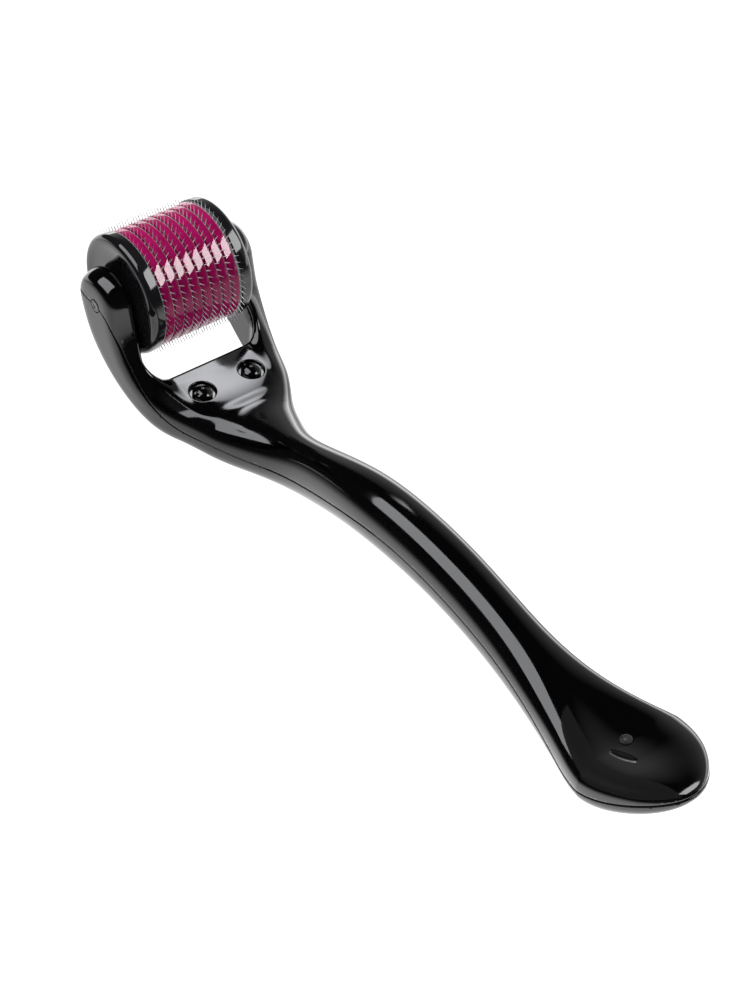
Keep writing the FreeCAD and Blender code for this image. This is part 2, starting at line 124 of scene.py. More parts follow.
# Studs, tail pin, the dent beside the pin, and the axle's seats.
STUD_AT = 18.2
STUD_SPACING = 10.3
STUD_RECESS = 2.3
STUD_RECESS_DEPTH = 0.7
PIN_AT = 118.4
PIN_RADIUS = 1.0
MARK_AT = (120.8, -2.8)
MARK_RISE = 0.18
MARK_SLOPE = 0.19
MARK_SIZES = (2.1, 0.7, 0.3)
MARK_TURN = math.radians(18)
PIN_CLEARANCE = 0.1
PIN_HOLE_DEPTH = 0.3
ARM_FACE = 15.2
AXLE_RADIUS = 1.2
AXLE_CLEARANCE = 0.08
SEAT_DEPTH = 0.4

# The gap between the shells, and how softly each kind of edge is rounded.
SHELL_GAP = 0.06
EDGE_ROUNDING = 0.9
SEAM_ROUNDING = 0.14
RECESS_ROUNDING = 0.3
PIN_HOLE_ROUNDING = 0.15
FINE_ROUNDING = 0.12
REST_ROUNDING = 0.1


# ---------------------------------------------------------------- splines


class Spline:
    """A natural cubic spline through rows of values at rising stops."""

    def __init__(self, stops, values):
        self.stops = np.asarray(stops, float)
        self.values = np.asarray(values, float)
        gaps = np.diff(self.stops)
        count = len(self.stops)
        system = np.eye(count)
        wanted = np.zeros_like(self.values)
        for i in range(1, count - 1):
            before, after = gaps[i - 1], gaps[i]
            system[i, i - 1 : i + 2] = before, 2 * (before + after), after
            rise = (self.values[i + 1] - self.values[i]) / after
            rise_before = (self.values[i] - self.values[i - 1]) / before
            wanted[i] = 6 * (rise - rise_before)
        self.bends = np.linalg.solve(system, wanted)

    def at(self, place):
        """Values and slopes at many places; straight on beyond either end."""
        inside = np.clip(place, self.stops[0], self.stops[-1])
        i = np.clip(np.searchsorted(self.stops, inside) - 1, 0, len(self.stops) - 2)
        gap = (self.stops[i + 1] - self.stops[i])[:, None]
        right = (inside - self.stops[i])[:, None] / gap
        left = 1 - right
        bend_a, bend_b = self.bends[i], self.bends[i + 1]
        low, high = self.values[i], self.values[i + 1]
        value = left * low + right * high
        value += ((left**3 - left) * bend_a + (right**3 - right) * bend_b) * gap**2 / 6
        slope = (high - low) / gap
        slope += ((3 * right**2 - 1) * bend_b - (3 * left**2 - 1) * bend_a) * gap / 6
        beyond = (place - inside)[:, None]
        return value + slope * beyond, slope


stations = np.array(STATIONS)
steps = np.hypot(*np.diff(stations[:, :2], axis=0).T)
STOPS = np.concatenate([[0.0], np.cumsum(steps)])
middle_line = Spline(STOPS, stations[:, :2])
section_sizes = Spline(STOPS, stations[:, 2:])
NOSE_STOP = STOPS[NOSE_STATION]
NOSE_LENGTH = STOPS[-1] - NOSE_STOP
parting = np.array(PARTING)
parting_line = Spline(parting[:, 0], parting[:, 1:])

# A coarse map from a place in side view to the nearest stop on the middle line.
MAP_LOW = np.array([-20.0, -34.0])
MAP_SHAPE = (170, 56)
samples = np.linspace(-10, STOPS[-1] + 4, 640)
sample_points = middle_line.at(samples)[0]
map_x, map_z = np.meshgrid(*(low + np.arange(n) for low, n in zip(MAP_LOW, MAP_SHAPE)), indexing="ij")
gaps = (map_x[..., None] - sample_points[:, 0]) ** 2 + (map_z[..., None] - sample_points[:, 1]) ** 2
NEAREST = samples[gaps.argmin(axis=2)]


def nearest_stop(x, z):
    """The stop on the middle line whose section passes through each point."""
    i = np.clip(np.rint(x - MAP_LOW[0]).astype(int), 0, MAP_SHAPE[0] - 1)
    j = np.clip(np.rint(z - MAP_LOW[1]).astype(int), 0, MAP_SHAPE[1] - 1)
    stop = NEAREST[i, j].copy()
    for _ in range(4):
        point, slope = middle_line.at(stop)
        ahead = (x - point[:, 0]) * slope[:, 0] + (z - point[:, 1]) * slope[:, 1]
        stop += np.clip(ahead / (slope**2).sum(axis=1), -1.0, 1.0) * 0.9
    return stop


# ---------------------------------------------------------------- the handle as signed distances


def smooth_max(a, b, radius):
    """The larger of two distances, with the corner between them rounded."""
    blend = np.maximum(radius - np.abs(a - b), 0) / radius
    return np.maximum(a, b) + blend**2 * radius / 4


def eased(share):
    """A share from 0 to 1 that starts and stops gently."""
    share = np.clip(share, 0, 1)
    return share**2 * (3 - 2 * share)


def form(points):
    """Distance to the outside of the whole handle, before anything is cut from it."""
    x, y, z = points.T
    stop = nearest_stop(x, z)
    middle, slope = middle_line.at(stop)
    slope /= np.linalg.norm(slope, axis=1)[:, None]
    depth = (z - middle[:, 1]) * slope[:, 0] - (x - middle[:, 0]) * slope[:, 1]
    width, thickness, power, hollow = section_sizes.at(np.clip(stop, 0, NOSE_STOP))[0].T
    power = power + PAD_EDGE * np.maximum(hollow, 0) * (depth > 0)
    side = np.abs(y) / width
    dish = np.maximum(1 - (side / DISH_WIDTH) ** 2, 0) ** 2
    before_end = (STOPS[-1] - stop) / NOSE_LENGTH
    depth = depth + hollow * dish * eased(depth / thickness + 0.3) * eased(DISH_END * before_end)
    across = np.abs(depth) / thickness
    dome = np.maximum(-stop, 0) / DOME_LENGTH
    across = np.sqrt(across**2 + dome**2)
    ratio = (side**power + across**power + 1e-9) ** (1 / power)
    lean_side = (side / ratio) ** (power - 1) / width
    lean_across = (across / ratio) ** (power - 1) / thickness
    nose = np.maximum(stop - NOSE_STOP, 0) / NOSE_LENGTH
    whole = (ratio**NOSE_POWER + nose**NOSE_POWER) ** (1 / NOSE_POWER)
    lean_nose = (nose / whole) ** (NOSE_POWER - 1) / NOSE_LENGTH
    share = (ratio / whole) ** (NOSE_POWER - 1)
    lean = np.sqrt((share**2) * (lean_side**2 + lean_across**2) + lean_nose**2)
    return (whole - 1) / np.maximum(lean, 0.02)


def fork_frame(points):
    """The same points along the neck plate, along the axle and square to the plate."""
    x, y, z = points.T
    cos, sin = math.cos(FORK_TILT), math.sin(FORK_TILT)
    return x * cos - z * sin, y, x * sin + z * cos


def rounded_box(offsets, half_sizes, radius):
    """Distance to a box whose edges along the missing axes are rounded."""
    over = [np.abs(offset) - half + radius for offset, half in zip(offsets, half_sizes)]
    outside = np.sqrt(sum(np.maximum(part, 0) ** 2 for part in over))
    inside = np.minimum(np.maximum.reduce(over), 0)
    return outside + inside - radius


def slot(points):
    """Distance to the gap that the drum sits in."""
    x, y, _ = fork_frame(points)
    reach = 60.0
    return rounded_box((x - PLATE_EDGE + reach, y), (reach, SLOT_HALF_WIDTH), SLOT_CORNER)


def plate_recess(points):
    """Distance to the space in front of the neck plate, between the roots of the arms."""
    x, y, z = fork_frame(points)
    reach = 30.0
    walls = rounded_box((y, z + PLATE_DEPTH - reach), (PLATE_HALF_WIDTH, reach), PLATE_CORNER)
    middle = (PLATE_START + PLATE_END) / 2
    ends = np.abs(x - middle) - (PLATE_END - PLATE_START) / 2
    return smooth_max(walls, ends, PLATE_END_ROUNDING)


def drilled(points, centre, axis, radius, depth):
    """Distance to a round blind hole that is open along its axis."""
    offset = points - centre
    along = offset @ axis
    across = np.linalg.norm(offset - along[:, None] * axis, axis=1)
    return np.maximum(across - radius, -along - depth)


def from_fork(x, y, z):
    """A point given along the neck plate, along the axle and square to the plate, as x, y and z."""
    cos, sin = math.cos(FORK_TILT), math.sin(FORK_TILT)
    return np.array([x * cos + z * sin, y, -x * sin + z * cos])


PLATE_NORMAL = from_fork(0, 0, 1)
UP = np.array([0.0, 0.0, 1.0])
STUDS = {name: from_fork(STUD_AT, side * STUD_SPACING / 2, -PLATE_DEPTH)
         for name, side in (("neck_stud_left", -1), ("neck_stud_right", 1))}
pin_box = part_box("tail_pin")
PIN_TOP = np.array([PIN_AT, 0.0, pin_box[1][2] / MM - AXLE[2]])
FLOOR = -AXLE[2]


def handle(points):
    """Distance to the finished outside of the handle, both shells together."""
    value = form(points)
    value = smooth_max(value, -slot(points), EDGE_ROUNDING)
    value = smooth_max(value, -plate_recess(points), EDGE_ROUNDING)
    for centre in STUDS.values():
        recess = drilled(points, centre, PLATE_NORMAL, STUD_RECESS, STUD_RECESS_DEPTH)
        value = smooth_max(value, -recess, RECESS_ROUNDING)
    pin_hole = drilled(points, PIN_TOP, UP, PIN_RADIUS + PIN_CLEARANCE, PIN_HOLE_DEPTH)
    value = smooth_max(value, -pin_hole, PIN_HOLE_ROUNDING)
    value = smooth_max(value, -thumb_mark(points), FINE_ROUNDING)
    for side in (-1, 1):
        face = np.array([0.0, side * ARM_FACE, 0.0])
        outward = np.array([0.0, side, 0.0])
        seat = drilled(points, face, outward, AXLE_RADIUS + AXLE_CLEARANCE, SEAT_DEPTH)
        value = smooth_max(value, -seat, FINE_ROUNDING)
    return smooth_max(value, FLOOR - points[:, 2], REST_ROUNDING)


def thumb_mark(points):
    """Distance to the small crescent-like dent beside the pin, an ellipsoid cut into the pad."""
    x, y, z = points.T
    cos, sin = math.cos(MARK_TURN), math.sin(MARK_TURN)
    x, y = x - MARK_AT[0], y - MARK_AT[1]
    long, short, deep = MARK_SIZES
    z = z - PIN_TOP[2] - MARK_RISE - MARK_SLOPE * x
    offset = np.stack([(x * cos + y * sin) / long, (y * cos - x * sin) / short, z / deep])
    return (np.linalg.norm(offset, axis=0) - 1) * deep


def parting_side(points):
    """Distance in front of the parting surface, negative behind it."""
    height, slope = parting_line.at(points[:, 0])
    return (points[:, 2] - height[:, 0]) / np.sqrt(1 + slope[:, 0] ** 2)


def front_shell(points):
    """Distance to the upper shell of the handle."""
    return smooth_max(handle(points), SHELL_GAP / 2 - parting_side(points), SEAM_ROUNDING * 2)


def back_shell(points):
    """Distance to the lower shell of the handle."""
    return smooth_max(handle(points), SHELL_GAP / 2 + parting_side(points), SEAM_ROUNDING * 2)


# ---------------------------------------------------------------- meshes from distances


def without_saddles(value):
    """Fill single corners of a grid until the surface crosses no square of it four times."""
    filled = -0.01
    found = True
    while found:
        found = False
        for axis in range(3):
            layers = np.moveaxis(value, axis, 2)
            a, b, c, d = layers[:-1, :-1], layers[1:, :-1], layers[:-1, 1:], layers[1:, 1:]
            falling = (a < 0) & (d < 0) & (b >= 0) & (c >= 0)
            rising = (a >= 0) & (d >= 0) & (b < 0) & (c < 0)
            b[falling] = filled
            a[rising] = filled
            found = found or falling.any() or rising.any()
    return value


def corner_of(array, corner, cells):
    """The values at one corner of every cell of a grid."""
    return array[tuple(slice(c, c + n) for c, n in zip(corner, cells))]


def surface_nets(distance, low, high, step):
    """A closed mesh of quads on the zero of a distance: one point in each cell that it crosses."""
    axes = [np.arange(a, b + step, step) for a, b in zip(low, high)]
    shape = tuple(len(axis) for axis in axes)
    grid = np.stack(np.meshgrid(*axes, indexing="ij"), axis=-1)
    flat = grid.reshape(-1, 3)
    value = np.concatenate([distance(part) for part in np.array_split(flat, 8)]).reshape(shape)
    value = without_saddles(value)
    inside = value < 0
    cells = tuple(n - 1 for n in shape)
    total = np.zeros(cells + (3,))
    count = np.zeros(cells)
    corners = [(i, j, k) for i in (0, 1) for j in (0, 1) for k in (0, 1)]
    for first in corners:
        for axis in range(3):
            if first[axis]:
                continue
            second = tuple(c + (1 if a == axis else 0) for a, c in enumerate(first))
            one, two = corner_of(value, first, cells), corner_of(value, second, cells)
            crossed = corner_of(inside, first, cells) != corner_of(inside, second, cells)
            share = np.where(crossed, one / np.where(one == two, 1, one - two), 0)
            start, end = corner_of(grid, first, cells), corner_of(grid, second, cells)
            total += np.where(crossed[..., None], start + (end - start) * share[..., None], 0)
            count += crossed
    used = count > 0
    index = np.full(cells, -1)
    index[used] = np.arange(used.sum())
    points = total[used] / count[used][:, None]
    quads = []
    for axis in range(3):
        others = [a for a in range(3) if a != axis]
        span = [slice(1, n - 1) for n in shape]
        span[axis] = slice(0, shape[axis] - 1)
        here = inside[tuple(span)]
        ahead_span = list(span)
        ahead_span[axis] = slice(1, shape[axis])
        ahead = inside[tuple(ahead_span)]
        places = np.argwhere(here != ahead)
        flips = here[here != ahead]
        places += np.array([1 if a in others else 0 for a in range(3)])
        ring = []
        for shift_b, shift_c in ((1, 1), (0, 1), (0, 0), (1, 0)):
            shifted = places.copy()
            shifted[:, others[0]] -= shift_b
            shifted[:, others[1]] -= shift_c
            ring.append(index[tuple(shifted.T)])
        ring = np.stack(ring, axis=1)
        turn = flips if axis != 1 else ~flips
        ring[~turn] = ring[~turn][:, ::-1]
        quads.append(ring)
    return points, np.concatenate(quads)


def triangles_of(quads):
    """Two triangles for each quad."""
    return np.concatenate([quads[:, [0, 1, 2]], quads[:, [0, 2, 3]]])


def split_long_edges(points, faces, target):
    """Split every edge that is longer than the target length at its middle, once."""
    edges = np.sort(faces[:, [0, 1, 1, 2, 2, 0]].reshape(-1, 2), axis=1)
    edges, which = np.unique(edges, axis=0, return_inverse=True)
    which = which.reshape(-1, 3)
    middles = points[edges].mean(axis=1)
    lengths = np.linalg.norm(points[edges[:, 0]] - points[edges[:, 1]], axis=1)
    chosen = lengths > target(middles)
    new_index = np.full(len(edges), -1)
    new_index[chosen] = len(points) + np.arange(chosen.sum())
    points = np.concatenate([points, middles[chosen]])
    mids = new_index[which]
    marked = mids >= 0
    result = [faces[~marked.any(axis=1)]]
    for turn in range(3):
        order = [turn, (turn + 1) % 3, (turn + 2) % 3]
        f, m, k = faces[:, order], mids[:, order], marked[:, order]
        one = k[:, 0] & ~k[:, 1] & ~k[:, 2]
        a, b, c, ab = f[one, 0], f[one, 1], f[one, 2], m[one, 0]
        result += [np.stack([a, ab, c], 1), np.stack([ab, b, c], 1)]
        two = k[:, 0] & k[:, 1] & ~k[:, 2]
        a, b, c, ab, bc = f[two, 0], f[two, 1], f[two, 2], m[two, 0], m[two, 1]
        result += [np.stack([ab, b, bc], 1), np.stack([a, ab, bc], 1), np.stack([a, bc, c], 1)]
    every = marked.all(axis=1)
    a, b, c = faces[every].T
    ab, bc, ca = mids[every].T
    result += [np.stack(rows, 1) for rows in ((a, ab, ca), (ab, b, bc), (ca, bc, c), (ab, bc, ca))]
    return points, np.concatenate(result)


def slope_of(distance, points, step=0.01):
    """The distance's direction of steepest rise at each point."""
    parts = []
    for axis in np.eye(3) * step:
        parts.append((distance(points + axis) - distance(points - axis)) / (2 * step))
    return np.stack(parts, axis=1)


LONGEST_MOVE = 0.4


def settle(distance, points, rounds):
    """Move points straight onto the zero of a distance."""
    for _ in range(rounds):
        slope = slope_of(distance, points)
        value = distance(points)
        move = slope * (value / np.maximum((slope**2).sum(axis=1), 0.05))[:, None]
        reach = np.linalg.norm(move, axis=1)
        points = points - move * np.minimum(1, LONGEST_MOVE / np.maximum(reach, 1e-9))[:, None]
    return points


def relax(points, faces, rounds):
    """Even out the points a little along the surface."""
    for _ in range(rounds):
        pairs = faces[:, [0, 1, 1, 2, 2, 0]].reshape(-1, 2)
        total = np.zeros_like(points)
        count = np.zeros(len(points))
        np.add.at(total, pairs[:, 0], points[pairs[:, 1]])
        np.add.at(count, pairs[:, 0], 1)
        points = points + 0.5 * (total / count[:, None] - points)
    return points


GRID_STEP = 0.55
GRID_LOW = np.array([-10.0, -16.5, FLOOR - 0.7])
GRID_HIGH = np.array([134.5, 16.5, 10.0])
SPLIT_ROUNDS = 4

# How long an edge of the mesh may be in each kind of place, and how far each place reaches.
PLAIN_LENGTH = 0.6
CUT_LENGTH = 0.3
CUT_REACH = 1.2
RECESS_LENGTH = 0.18
RECESS_REACH = 0.8
MARK_LENGTH = 0.16
MARK_REACH = 0.4
MARK_BELOW = 1.5
SEAM_LENGTH = 0.14
SEAM_REACH = 0.35
HOLE_LENGTH = 0.12
HOLE_REACH = 0.5
ARM_OUTSIDE = 14.5


def shell_edge_length(points):
    """How long an edge of the mesh may be: short at the seam, the holes and every cut edge."""
    seam = np.abs(parting_side(points))
    skin = np.abs(handle(points))
    target = np.full(len(points), PLAIN_LENGTH)
    edge = np.abs(np.maximum(-slot(points), -plate_recess(points))) + np.abs(form(points))
    target = np.where(edge < CUT_REACH, CUT_LENGTH, target)
    for centre in STUDS.values():
        away = np.linalg.norm(points - centre, axis=1)
        target = np.where(away < STUD_RECESS + RECESS_REACH, RECESS_LENGTH, target)
    away = np.linalg.norm(points - PIN_TOP, axis=1)
    target = np.where(away < PIN_RADIUS + HOLE_REACH, HOLE_LENGTH, target)
    away = np.hypot(points[:, 0] - MARK_AT[0], points[:, 1] - MARK_AT[1])
    marked = (away < MARK_SIZES[0] + MARK_REACH) & (points[:, 2] > PIN_TOP[2] - MARK_BELOW)
    target = np.where(marked, MARK_LENGTH, target)
    away = np.hypot(points[:, 0], points[:, 2])
    seat = (np.abs(points[:, 1]) > ARM_OUTSIDE) & (away < AXLE_RADIUS + HOLE_REACH)
    target = np.where(seat, HOLE_LENGTH, target)
    return np.where((seam < SEAM_REACH) & (skin < SEAM_REACH), SEAM_LENGTH, target)


def make_mesh(name, points, faces, normals=None):
    """A smooth-shaded mesh object from points in millimetres, measured from the axle."""
    mesh = bpy.data.meshes.new(name)
    mesh.from_pydata(((points + AXLE) * MM).tolist(), [], faces.tolist())
    mesh.validate()
    mesh.shade_smooth()
    if normals is not None:
        mesh.normals_split_custom_set_from_vertices(normals.tolist())
    piece = bpy.data.objects.new(name, mesh)
    bpy.context.scene.collection.objects.link(piece)
    return piece


def make_shell(name, distance):
    """One shell of the handle."""
    points, quads = surface_nets(distance, GRID_LOW, GRID_HIGH, GRID_STEP)
    faces = triangles_of(quads)
    points = settle(distance, relax(settle(distance, points, 2), faces, 2), 2)
    for _ in range(SPLIT_ROUNDS):
        points, faces = split_long_edges(points, faces, shell_edge_length)
        points = settle(distance, points, 1)
    points = settle(distance, points, 2)
    normals = slope_of(distance, points)
    normals /= np.linalg.norm(normals, axis=1)[:, None]
    return make_mesh(name, points, faces, normals)


# ---------------------------------------------------------------- round pieces


def ring_of(profile, segments):
    """Points and faces of a profile (distance from the axis, height) turned all the way round."""
    profile = np.array(profile)
    angles = np.arange(segments) * 2 * math.pi / segments
    ring = np.stack([np.cos(angles), np.sin(angles)], axis=1)
    circles = []
    for radius, height in profile:
        circles.append(np.concatenate([ring * radius, np.full((segments, 1), height)], axis=1))
    points = np.concatenate(circles)
    rows = len(profile)
    i, j = np.meshgrid(np.arange(rows), np.arange(segments), indexing="ij")
    after_i, after_j = (i + 1) % rows, (j + 1) % segments
    faces = np.stack([
        i * segments + j,
        i * segments + after_j,
        after_i * segments + after_j,
        after_i * segments + j,
    ], axis=-1).reshape(-1, 4)
    return points, faces


def rounded_profile(inner, outer, low, high, radius, steps=5):
    """A tube's section, anticlockwise, with its two outer corners rounded."""
    turn = np.linspace(0, math.pi / 2, steps)
    lower = [(outer - radius + radius * math.sin(a), low + radius - radius * math.cos(a)) for a in turn]
    upper = [(outer - radius + radius * math.cos(a), high - radius + radius * math.sin(a)) for a in turn]
    return [(inner, low)] + lower + upper + [(inner, high)]


def turned(points, axis, centre):
    """Stand points made about z on a centre, with z along axis."""
    z = np.asarray(axis, float)
    x = np.cross([0, 1, 0] if abs(z[1]) < 0.9 else [0, 0, 1], z)
    x /= np.linalg.norm(x)
    return points @ np.stack([x, np.cross(z, x), z]) + centre


def span_on_axle(node):
    """Where a CAD node starts and ends along the axle, in millimetres."""
    low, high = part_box(node)
    return low[1] / MM, high[1] / MM


AXLE_WAY = np.array([0.0, 1.0, 0.0])
AXLE_BORE = 1.26
DISC_RADIUS = 10.7
FLANGE_RADIUS = 11.0
FLANGE_ROUNDING = 1.1
FLANGE_LIP = 0.25
DISH_DEPTH = 0.08
HUB_RISE = 0.35
HUB_RADIUS = 2.6
CORE_RADIUS = 5.0
RIM_ROUNDING = 0.2
ROUND_SEGMENTS = 256
SMALL_SEGMENTS = 96
PIN_SEGMENTS = 64
ON_AXIS = 0.0001


def make_disc(node):
    """One coloured disc of the drum, with softly rounded rims."""
    start, end = span_on_axle(node)
    section = rounded_profile(CORE_RADIUS, DISC_RADIUS, start, end, RIM_ROUNDING)
    points, faces = ring_of(section, ROUND_SEGMENTS)
    return make_mesh(f"disc_{node[-1]}", turned(points, AXLE_WAY, np.zeros(3)), faces)


def make_flange(node, side):
    """A black end flange: deep rounding at its outer rim, a fine one inside, and a low hub."""
    start, end = span_on_axle(node)
    inner, hub_top = (start, end) if side > 0 else (-end, -start)
    outer = hub_top - HUB_RISE
    turn = np.linspace(0, math.pi / 2, 10)
    lip = FLANGE_LIP
    lip_points = [(FLANGE_RADIUS - lip + lip * math.sin(a), inner + lip - lip * math.cos(a)) for a in turn]
    rim = FLANGE_ROUNDING
    brow = [(FLANGE_RADIUS - rim + rim * math.cos(a), outer - rim + rim * math.sin(a)) for a in turn]
    low = outer - DISH_DEPTH
    dish = [(9.2, outer), (8.9, low), (HUB_RADIUS + 0.3, low), (HUB_RADIUS + 0.1, outer)]
    hub = [(HUB_RADIUS, outer + 0.1), (HUB_RADIUS, hub_top - 0.1), (HUB_RADIUS - 0.1, hub_top)]
    profile = [(AXLE_BORE, inner)] + lip_points + brow + dish + hub + [(AXLE_BORE, hub_top)]
    points, faces = ring_of(profile, ROUND_SEGMENTS)
    return make_mesh(f"end_{node}", turned(points, AXLE_WAY * side, np.zeros(3)), faces)


def make_core():
    """The tube that carries the discs."""
    start, end = span_on_axle("drum_core")
    section = rounded_profile(AXLE_BORE, CORE_RADIUS, start, end, RIM_ROUNDING)
    points, faces = ring_of(section, SMALL_SEGMENTS)
    return make_mesh("core_tube", turned(points, AXLE_WAY, np.zeros(3)), faces)


def make_axle():
    """The pin across the fork, its ends just domed."""
    start, end = span_on_axle("axle")
    edge = 0.25
    dome = [(ON_AXIS, 0.02), (AXLE_RADIUS - edge, 0.05), (AXLE_RADIUS - 0.06, 0.12), (AXLE_RADIUS, edge)]
    profile = [(radius, start + inset) for radius, inset in dome]
    profile += [(radius, end - inset) for radius, inset in reversed(dome)]
    points, faces = ring_of(profile, PIN_SEGMENTS)
    return make_mesh("axle_pin", turned(points, AXLE_WAY, np.zeros(3)), faces)


NEEDLE_COUNT = 60
NEEDLE_TIP = 12.2
NEEDLE_SIDES = 8
NEEDLE_LEAN = 0.012
NEEDLE_STEPS = [(9.9, 0.06), (11.0, 0.055), (11.6, 0.04), (12.0, 0.02), (NEEDLE_TIP, 0.004)]
ROW_RIM = 9.95


def make_needle_row(node):
    """A thin steel ring and its sixty round needles, each ground to a point."""
    start, end = span_on_axle(node)
    middle = (start + end) / 2
    index = int(node[-1])
    section = [(CORE_RADIUS, start), (ROW_RIM, start), (ROW_RIM, end), (CORE_RADIUS, end)]
    ring, ring_faces = ring_of(section, ROUND_SEGMENTS // 2)
    points, faces = [turned(ring, AXLE_WAY, np.zeros(3))], [ring_faces.tolist()]
    count = len(ring)
    draw = np.random.default_rng(index)
    around = np.arange(NEEDLE_SIDES) * 2 * math.pi / NEEDLE_SIDES
    circle = np.stack([np.cos(around), np.sin(around)], axis=1)
    needle = np.concatenate([
        np.concatenate([circle * radius, np.full((NEEDLE_SIDES, 1), height)], axis=1)
        for height, radius in NEEDLE_STEPS
    ])
    rows = len(NEEDLE_STEPS)
    base = []
    for i in range(rows - 1):
        for j in range(NEEDLE_SIDES):
            after = (j + 1) % NEEDLE_SIDES
            near, far = i * NEEDLE_SIDES, (i + 1) * NEEDLE_SIDES
            base.append([near + j, near + after, far + after, far + j])
    base.append(list(range(NEEDLE_SIDES))[::-1])
    base.append([(rows - 1) * NEEDLE_SIDES + j for j in range(NEEDLE_SIDES)])
    stagger = 0.5 * (index % 2)
    for k in range(NEEDLE_COUNT):
        angle = 2 * math.pi * (k + stagger) / NEEDLE_COUNT
        lean = draw.normal(0, NEEDLE_LEAN, 2)
        way = np.array([math.cos(angle + lean[0]), lean[1], math.sin(angle + lean[0])])
        way /= np.linalg.norm(way)
        foot = np.array([math.cos(angle), 0, math.sin(angle)]) * NEEDLE_STEPS[0][0] + [0, middle, 0]
        shaft = needle - [0, 0, NEEDLE_STEPS[0][0]]
        points.append(turned(shaft, way, foot))
        faces.append([[v + count for v in face] for face in base])
        count += len(needle)
    flat = [face for part in faces for face in part]
    return make_loose_mesh(f"needles_{index}", np.concatenate(points), flat)


def make_loose_mesh(name, points, faces):
    """A mesh object whose faces may have any number of corners."""
    mesh = bpy.data.meshes.new(name)
    mesh.from_pydata(((points + AXLE) * MM).tolist(), [], faces)
    mesh.shade_smooth()
    piece = bpy.data.objects.new(name, mesh)
    bpy.context.scene.collection.objects.link(piece)
    return piece


STUD_RADIUS = 1.8
STUD_DOME = 0.7
STUD_HEAD = 1.0
STUD_LENGTH = 6.5
SHANK_RADIUS = 1.0


def make_stud(node):
    """A low round-headed stud on the neck plate, on its shank."""
    turn = np.linspace(0, 1, 14)
    ball = (STUD_RADIUS**2 + STUD_DOME**2) / (2 * STUD_DOME)
    radii = STUD_RADIUS * turn[::-1]
    cap = [(radius, math.sqrt(ball**2 - radius**2) - ball + STUD_DOME) for radius in radii]
    cap[-1] = (ON_AXIS, STUD_DOME)
    foot, head = -STUD_LENGTH, -STUD_HEAD
    profile = [(ON_AXIS, foot), (SHANK_RADIUS, foot), (SHANK_RADIUS, head), (STUD_RADIUS, head)]
    profile += [(STUD_RADIUS, -0.08)] + cap
    points, faces = ring_of(profile, SMALL_SEGMENTS)
    return make_mesh(f"{node}_dome", turned(points, PLATE_NORMAL, STUDS[node]), faces)


def make_pin():
    """The pin end in the thumb hollow, faintly domed."""
    depth = (pin_box[1][2] - pin_box[0][2]) / MM
    shank = [(ON_AXIS, -depth), (PIN_RADIUS, -depth)]
    end = [(PIN_RADIUS, -0.2), (0.93, -0.06), (0.8, -0.01), (ON_AXIS, 0.0)]
    points, faces = ring_of(shank + end, PIN_SEGMENTS)
    return make_mesh("pin_end", turned(points, UP, PIN_TOP), faces)


# ---------------------------------------------------------------- materials


class Look:
    """A node material that is built up step by step from its own object's coordinates."""

    def __init__(self, name, color, roughness, **sockets):
        self.material = bpy.data.materials.new(name)
        self.material.use_nodes = True
        self.tree = self.material.node_tree
        self.shader = self.tree.nodes["Principled BSDF"]
        self.shader.inputs["Base Color"].default_value = (*color, 1)
        self.shader.inputs["Roughness"].default_value = roughness
        for socket, value in sockets.items():
            self.shader.inputs[socket.replace("_", " ")].default_value = value
        self.place = self.tree.nodes.new("ShaderNodeTexCoord").outputs["Object"]

    def noise(self, scale, detail=3.0, stretch=(1, 1, 1), distortion=0.0):
        """A noise value; scale is in bumps per metre."""
        mapping = self.tree.nodes.new("ShaderNodeMapping")
        mapping.inputs["Scale"].default_value = stretch
        self.tree.links.new(self.place, mapping.inputs["Vector"])
        node = self.tree.nodes.new("ShaderNodeTexNoise")
        node.inputs["Scale"].default_value = scale
        node.inputs["Detail"].default_value = detail
        node.inputs["Distortion"].default_value = distortion
        self.tree.links.new(mapping.outputs["Vector"], node.inputs["Vector"])
        return node.outputs["Fac"]

    def between(self, value, low, high, start=0.35, end=0.65):
        """A value mapped onto a range, start and end being where the range begins and stops."""
        node = self.tree.nodes.new("ShaderNodeMapRange")
        for socket, number in (("From Min", start), ("From Max", end), ("To Min", low), ("To Max", high)):
            node.inputs[socket].default_value = number
        self.tree.links.new(value, node.inputs["Value"])
        return node.outputs["Result"]

    def toward(self, way):
        """How far a place lies in a direction, in metres from the object's own origin."""
        node = self.tree.nodes.new("ShaderNodeVectorMath")
        node.operation = "DOT_PRODUCT"
        node.inputs[1].default_value = way
        self.tree.links.new(self.place, node.inputs[0])
        return node.outputs["Value"]

    def turned_away(self):
        """0 where the surface is seen straight on, 1 where it is seen edge on."""
        return self.tree.nodes.new("ShaderNodeLayerWeight").outputs["Facing"]

    def combined(self, operation, one, two):
        """One value from two, by a named sum of the Math node."""
        node = self.tree.nodes.new("ShaderNodeMath")
        node.operation = operation
        self.tree.links.new(one, node.inputs[0])
        self.tree.links.new(two, node.inputs[1])
        return node.outputs["Value"]

    def mix_color(self, share, low, high):
        """A colour between two, by a share from 0 to 1."""
        node = self.tree.nodes.new("ShaderNodeMix")
        node.data_type = "RGBA"
        node.inputs["A"].default_value = (*low, 1)
        node.inputs["B"].default_value = (*high, 1)
        self.tree.links.new(share, node.inputs["Factor"])
        return node.outputs["Result"]

    def set(self, socket, value):
        self.tree.links.new(value, self.shader.inputs[socket])
        return self

    def bump(self, value, distance, strength=1.0):
        """Adds a fine relief of that height, in metres."""
        node = self.tree.nodes.new("ShaderNodeBump")
        node.inputs["Distance"].default_value = distance
        node.inputs["Strength"].default_value = strength
        self.tree.links.new(value, node.inputs["Height"])
        before = self.shader.inputs["Normal"].links
        if before:
            self.tree.links.new(before[0].from_socket, node.inputs["Normal"])
        return self.set("Normal", node.outputs["Normal"])


